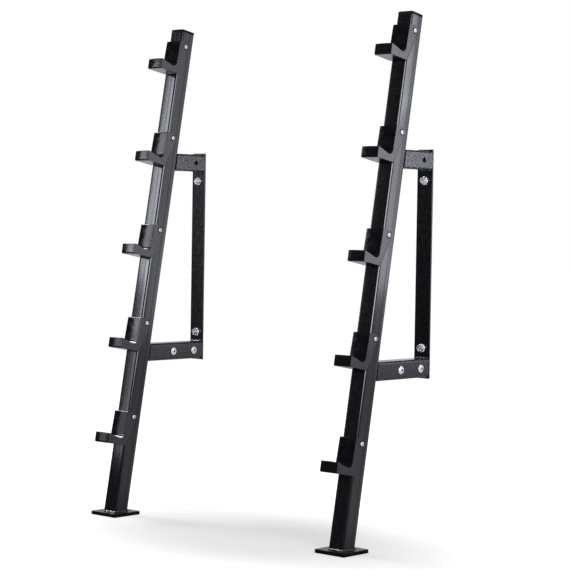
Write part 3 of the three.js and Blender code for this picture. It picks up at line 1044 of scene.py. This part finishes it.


# Studio: a white sweep that runs out of the picture, and soft boxes round the rack.
# The floor keeps a soft shadow from the boxes; a share of its own white stands in for the retouched
# background, and that glow is weaker round the feet, a painted shade halo about them.
floor_reach = 30.0
floor_sink = 0.2 * mm
sweep_white = (0.385, 0.376, 0.34, 1)
sweep_roughness = 0.9
sweep_light_near = 0.50
sweep_light_far = 1.0
shade_middle = (0.17, -0.37)
shade_reach = (0.95, 0.6)
shade_fade = (0.25, 1.3)
behind_left = (-0.67, 0.74, 0)
mirrored_white = (0.91, 0.92, 1.0, 1)
mirrored_grey = (0.08, 0.08, 0.08, 1)
mirrored_near = 0.38
mirrored_near_range = (-0.6, 0.1)
mirrored_far = 0.6
mirrored_far_range = (1.2, 3.0)
studio_white = (0.885, 0.905, 1.0)
room_front = 0.026
room_back = 1.0
room_range = (0.7, 0.95)
backdrop_white = (1, 1, 1, 1)


def chosen_by(tree, ray, for_others, for_these):
    """One shader for the rays of a kind, and another for all the rest."""
    return add_node(tree, "ShaderNodeMixShader", {"Fac": ray, 1: for_others, 2: for_these}).outputs[0]


floor_mesh = bpy.data.meshes.new("floor")
floor_corners = [(-1, -1), (1, -1), (1, 1), (-1, 1)]
floor_mesh.from_pydata(
    [(x * floor_reach, y * floor_reach, -floor_sink) for x, y in floor_corners],
    [],
    [(0, 1, 2, 3)],
)
floor = bpy.data.objects.new("floor", floor_mesh)
bpy.context.scene.collection.objects.link(floor)

sweep = bpy.data.materials.new("White sweep")
sweep.use_nodes = True
tree = sweep.node_tree
shader = tree.nodes["Principled BSDF"]
feed(tree, shader, {"Base Color": sweep_white, "Roughness": sweep_roughness, "Specular IOR Level": 0})
plain = shader.outputs[0]
on_floor = tree.nodes.new("ShaderNodeTexCoord").outputs["Object"]
# Painted shade: the floor's own glow is lowest round the feet and rises to white further out.
shade_place = {
    "Vector": on_floor,
    "Location": (-shade_middle[0] / shade_reach[0], -shade_middle[1] / shade_reach[1], 0),
    "Scale": (1 / shade_reach[0], 1 / shade_reach[1], 1),
}
from_feet = add_node(tree, "ShaderNodeMapping", shade_place).outputs["Vector"]
away = add_node(tree, "ShaderNodeVectorMath", {0: from_feet}, operation="LENGTH").outputs["Value"]
fade = ranged(tree, away, *shade_fade, sweep_light_near, sweep_light_far, "SMOOTHSTEP")
own_light = add_node(tree, "ShaderNodeEmission", {"Strength": fade}).outputs[0]
added = add_node(tree, "ShaderNodeAddShader", {0: plain, 1: own_light}).outputs[0]
depth = add_node(tree, "ShaderNodeSeparateXYZ", {0: on_floor}).outputs["Y"]
towards_wall = ranged(tree, depth, *mirrored_near_range, 0.0, mirrored_near)
leftwards = add_node(tree, "ShaderNodeVectorMath", {0: on_floor, 1: behind_left}, operation="DOT_PRODUCT")
far_behind = ranged(tree, leftwards.outputs["Value"], *mirrored_far_range, 0.0, mirrored_far)
mirrored_glow = {"Color": mirrored_white, "Strength": worked_out(tree, "ADD", towards_wall, far_behind)}
mirrored_light = add_node(tree, "ShaderNodeEmission", mirrored_glow).outputs[0]
mirrored_shade = add_node(tree, "ShaderNodeBsdfDiffuse", {"Color": mirrored_grey}).outputs[0]
mirrored = add_node(tree, "ShaderNodeAddShader", {0: mirrored_shade, 1: mirrored_light}).outputs[0]
rays = tree.nodes.new("ShaderNodeLightPath").outputs
in_gloss = chosen_by(tree, rays["Is Glossy Ray"], plain, mirrored)
chosen = chosen_by(tree, rays["Is Camera Ray"], in_gloss, added)
feed(tree, tree.nodes["Material Output"], {"Surface": chosen})
floor_mesh.materials.append(sweep)

world = bpy.data.worlds.new("Studio")
bpy.context.scene.world = world
world.use_nodes = True
tree = world.node_tree
outward = tree.nodes.new("ShaderNodeTexCoord").outputs["Generated"]
facing = add_node(tree, "ShaderNodeVectorMath", {0: outward, 1: behind_left}, operation="DOT_PRODUCT")
fall_off = ranged(tree, facing.outputs["Value"], *room_range, room_front, room_back)
room = tree.nodes["Background"]
feed(tree, room, {"Color": (*studio_white, 1), "Strength": fall_off})
backdrop = add_node(tree, "ShaderNodeBackground", {"Color": backdrop_white, "Strength": 1})
rays = tree.nodes.new("ShaderNodeLightPath").outputs
world_choice = chosen_by(tree, rays["Is Camera Ray"], room.outputs[0], backdrop.outputs[0])
feed(tree, tree.nodes["World Output"], {"Surface": world_choice})


def soft_box(name, place, target, width, height, power):
    """A rectangular lamp that faces a point on the rack."""
    lamp = bpy.data.lights.new(name, "AREA")
    lamp.color = studio_white
    lamp.shape = "RECTANGLE"
    lamp.size = width
    lamp.size_y = height
    lamp.energy = power
    box = bpy.data.objects.new(name, lamp)
    box.location = place
    box.rotation_euler = (Vector(target) - Vector(place)).to_track_quat("-Z", "Y").to_euler()
    box.visible_camera = False
    bpy.context.scene.collection.objects.link(box)


# Each box: its place, the point that it faces, its width and height in metres, and its power in watts.
soft_box("Side box, high", (2.2, 1.34, 1.74), (0.5, -0.2, 1.3), 0.85, 0.46, 4.5)
soft_box("Side box, low", (2.2, 1.34, 1.14), (0.5, -0.2, 1.0), 0.85, 0.84, 5.9)
soft_box("Back box", (1.62, 2.14, 1.26), (-0.4, -0.2, 1.2), 0.9, 1.62, 4.7)
soft_box("Rim box", (-0.35, 1.2, 1.0), (-0.5, -0.2, 0.9), 0.5, 1.6, 1)
soft_box("Edge box", (1.9, -0.05, 1.65), (0.5, -0.3, 1.2), 0.35, 1.4, 1.2)
soft_box("Front box, high", (-2.66, -2.40, 2.01), (-0.5, -0.3, 1.2), 0.56, 1.12, 10.3)
soft_box("Front box, low", (-1.38, -1.32, 1.03), (-0.5, -0.4, 0.8), 0.26, 0.45, 1.2)
soft_box("Front box, foot", (-1.38, -1.32, 0.58), (-0.5, -0.4, 0.4), 0.26, 0.44, 0.6)
soft_box("Corner box", (3.2, -2.5, 1.95), (0.2, -0.3, 1.2), 3.0, 1.8, 135)
soft_box("Top box", (0.5, -0.6, 4.2), (0, -0.3, 0), 3.0, 3.0, 26)
soft_box("Left box", (-4.0, -0.4, 3.7), (0.0, -0.3, 0.6), 1.2, 1.2, 120)

# Camera: a long lens at chest height, well to the right of the rack, as the photograph was taken.
# Its place and angle come from fitting the CAD model to the photograph.
camera_place = Vector((4.1735, -4.72795, 1.01146))
turn_left = math.radians(42.05)
tilt = math.radians(-1.955)
roll = math.radians(0.91)
focal_length = 117.86
sensor_width = 36
level_right = Vector((math.cos(turn_left), math.sin(turn_left), 0))
ahead = Vector((
    -math.sin(turn_left) * math.cos(tilt),
    math.cos(turn_left) * math.cos(tilt),
    math.sin(tilt),
))
level_up = level_right.cross(ahead)
right = level_right * math.cos(roll) + level_up * math.sin(roll)
up = level_up * math.cos(roll) - level_right * math.sin(roll)
lens = bpy.data.cameras.new("Photograph")
lens.sensor_width = sensor_width
lens.lens = focal_length
camera = bpy.data.objects.new("Photograph", lens)
bpy.context.scene.collection.objects.link(camera)
camera.matrix_world = Matrix.Translation(camera_place) @ Matrix((right, up, -ahead)).transposed().to_4x4()
bpy.context.scene.camera = camera
bpy.context.scene.view_settings.view_transform = "Standard"
